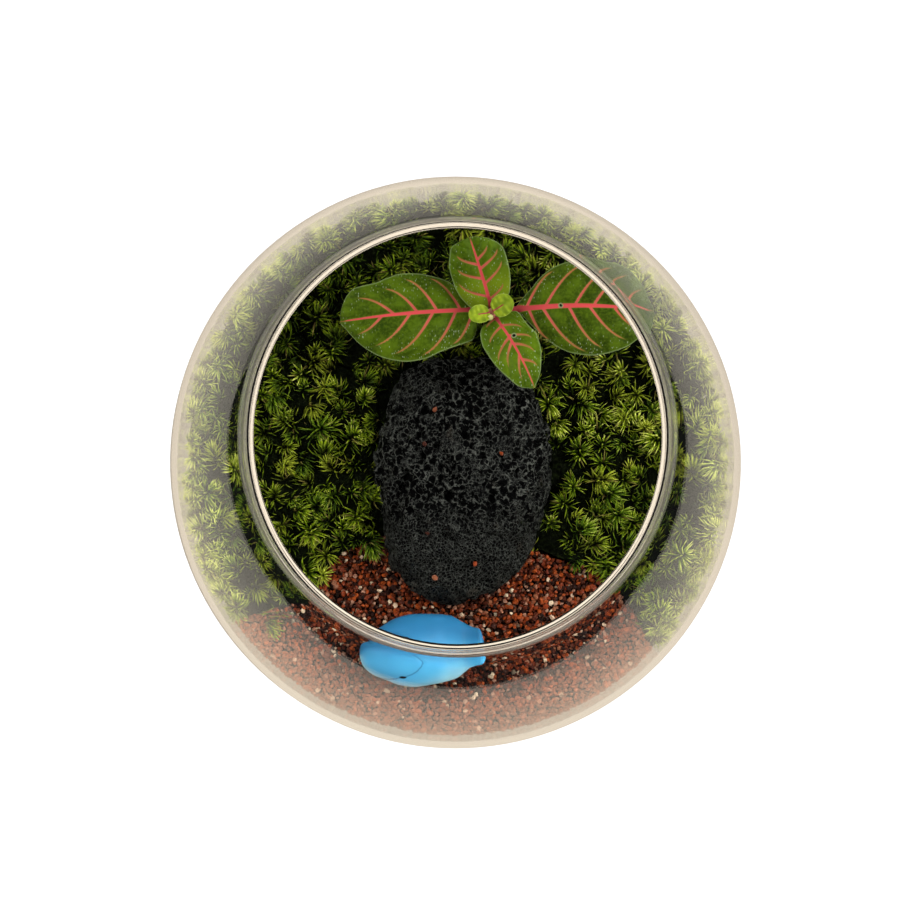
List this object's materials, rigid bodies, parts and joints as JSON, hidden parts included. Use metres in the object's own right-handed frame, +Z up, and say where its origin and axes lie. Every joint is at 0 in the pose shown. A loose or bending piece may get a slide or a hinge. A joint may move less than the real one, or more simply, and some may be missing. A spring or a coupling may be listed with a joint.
{
  "type": "bowl terrarium",
  "caption": "Clear glass globe with an open mouth, planted with moss, a lava rock, red gravel, a small pink-veined plant and a blue whale figurine.",
  "frame": {"origin": "centre of the bowl's foot, on the surface it stands on", "axes": "+Z up through the mouth, +Y towards the back of the planting where the plant stands, -Y towards the gravel and the figurine, +X to the right as seen from the gravel side"},
  "size_m": [0.1498, 0.1498, 0.127],
  "materials": {
    "clear_glass": "polished",
    "pebbles": "matte",
    "black_mesh": "matte",
    "charcoal": "matte",
    "soil": "matte",
    "lava_gravel": "matte",
    "black_lava": "matte",
    "moss": "matte",
    "roots": "matte",
    "stem": "satin",
    "leaf": "satin",
    "young_leaf": "satin",
    "blue_vinyl": "satin"
  },
  "bodies": {
    "root": {"glass_bowl": "clear_glass", "drainage_pebbles": "pebbles", "filter_mesh": "black_mesh", "charcoal_layer": "charcoal", "potting_soil": "soil", "red_gravel": "lava_gravel", "lava_rock": "black_lava", "moss_right_front": "moss", "moss_right": "moss", "moss_right_back": "moss", "moss_back": "moss", "moss_left_back": "moss", "moss_left": "moss", "moss_left_front": "moss", "root_ball": "roots", "plant_stem": "stem", "leaf_left": "leaf", "leaf_right": "leaf", "leaf_back": "leaf", "leaf_front": "leaf", "young_leaf_left": "young_leaf", "young_leaf_right": "young_leaf", "whale_figurine": "blue_vinyl"}
  },
  "joints": []
}
